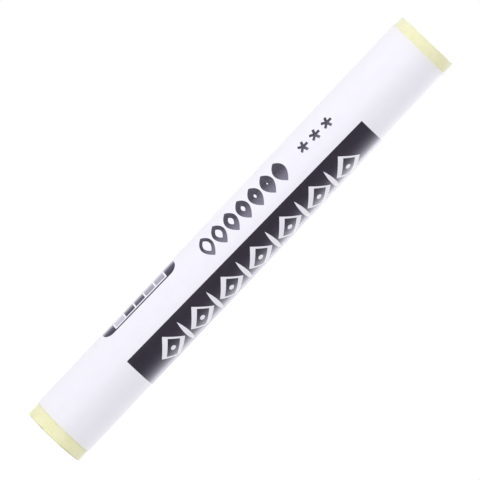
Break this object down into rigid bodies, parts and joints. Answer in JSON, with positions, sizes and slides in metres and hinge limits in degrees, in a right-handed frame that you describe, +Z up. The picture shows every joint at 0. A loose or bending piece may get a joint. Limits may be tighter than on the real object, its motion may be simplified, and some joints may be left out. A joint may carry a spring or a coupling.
{
  "type": "soft pastel stick",
  "caption": "Round stick of pale yellow soft pastel in a printed white paper wrapper, for drawing and shading; both ends are bare.",
  "frame": {"origin": "centre of the stick's lower end face, on the surface it stands on", "axes": "+Z up along the stick's axis; -Y is the front, where the marks and the near edge of the band show; +X is to the right"},
  "size_m": [0.0098, 0.0098, 0.075],
  "materials": {
    "pastel": "matte",
    "paper": "matte",
    "black_ink": "satin",
    "grey_ink": "satin"
  },
  "bodies": {
    "root": {"pastel_stick": "pastel", "paper_wrapper": "paper", "printed_band": "black_ink", "tone_marks": "black_ink", "star_marks": "black_ink", "badge_frame": "black_ink", "badge_steps": "grey_ink"}
  },
  "joints": []
}
